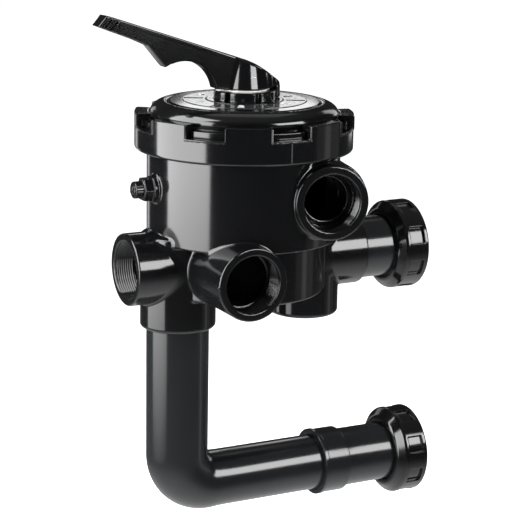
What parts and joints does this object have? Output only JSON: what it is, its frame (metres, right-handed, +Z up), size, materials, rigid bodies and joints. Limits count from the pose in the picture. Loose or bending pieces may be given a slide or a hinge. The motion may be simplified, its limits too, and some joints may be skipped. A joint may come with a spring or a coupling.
{
  "type": "multiport valve",
  "caption": "Side-mount multiport valve for a pool sand filter: lever selector over a ported body, with an elbow pipe and ribbed union nuts to the tank.",
  "frame": {"origin": "on the upper union's axis where its nut's thread starts, 1 mm in front of the tailpiece's sealing face", "axes": "+X out of the unions towards the filter tank, +Z up along the selector axis, so the two front ports face -Y"},
  "size_m": [0.364, 0.2262, 0.5271],
  "materials": {
    "black_plastic": "gloss",
    "nut_plastic": "gloss",
    "pipe_plastic": "satin",
    "plug_plastic": "gloss",
    "rotor_plastic": "satin",
    "washer_plastic": "matt",
    "plate_grey": "satin print",
    "gasket_rubber": "matt",
    "seal_rubber": "matt",
    "steel": "brushed"
  },
  "bodies": {
    "housing": {"valve_body": "black_plastic", "spider_gasket": "gasket_rubber", "cover": "black_plastic", "cover_o_ring": "seal_rubber", "index_plate": "plate_grey", "drain_plug_o_ring": "seal_rubber", "elbow_pipe": "pipe_plastic", "upper_tailpiece": "pipe_plastic", "upper_seal": "seal_rubber", "lower_tailpiece": "pipe_plastic", "lower_seal": "seal_rubber"},
    "selector": {"thrust_washer": "washer_plastic", "upper_spring_washer": "steel"},
    "rotor": {"rotor": "rotor_plastic", "stem_o_rings": "seal_rubber", "lower_spring_washer": "steel", "selector_spring": "steel"},
    "lever": {"lever": "black_plastic", "lever_pin": "steel"},
    "lock_ring": {"lock_ring": "black_plastic"},
    "drain_plug": {"drain_plug": "plug_plastic"},
    "bleed_screw": {"bleed_screw": "plug_plastic"},
    "upper_nut": {"upper_union_nut": "nut_plastic"},
    "lower_nut": {"lower_union_nut": "nut_plastic"}
  },
  "joints": [
    {"name": "selector_turn", "type": "hinge", "parent": "housing", "child": "selector", "pos_m": [-0.186, 0, 0.1145], "axis": [0, 0, 1], "continuous": true},
    {"name": "rotor_lift", "type": "slide", "parent": "selector", "child": "rotor", "axis": [0, 0, 1], "range_m": [0, 0.0064], "deforming": ["selector_spring"]},
    {"name": "lever_press", "type": "hinge", "parent": "rotor", "child": "lever", "pos_m": [-0.186, 0, 0.1845], "axis": [0, -1, 0], "range_deg": [0, 16], "stiffness_Nm_per_rad": 20, "springref_deg": -8.59},
    {"name": "lock_ring_turn", "type": "hinge", "parent": "housing", "child": "lock_ring", "pos_m": [-0.186, 0, 0.1325], "axis": [0, 0, 1], "continuous": true},
    {"name": "drain_plug_turn", "type": "hinge", "parent": "housing", "child": "drain_plug", "pos_m": [-0.284, 0, 0.08], "axis": [-1, 0, 0], "continuous": true},
    {"name": "bleed_screw_turn", "type": "hinge", "parent": "drain_plug", "child": "bleed_screw", "pos_m": [-0.298, 0, 0.08], "axis": [-1, 0, 0], "continuous": true},
    {"name": "upper_nut_turn", "type": "hinge", "parent": "housing", "child": "upper_nut", "pos_m": [-0.011, 0, 0], "axis": [1, 0, 0], "continuous": true},
    {"name": "lower_nut_turn", "type": "hinge", "parent": "housing", "child": "lower_nut", "pos_m": [-0.002, 0, -0.23], "axis": [1, 0, 0], "continuous": true}
  ],
  "couplings": [
    {"joint": "rotor_lift", "follows": "lever_press", "m_per_rad": 0.022918}
  ]
}
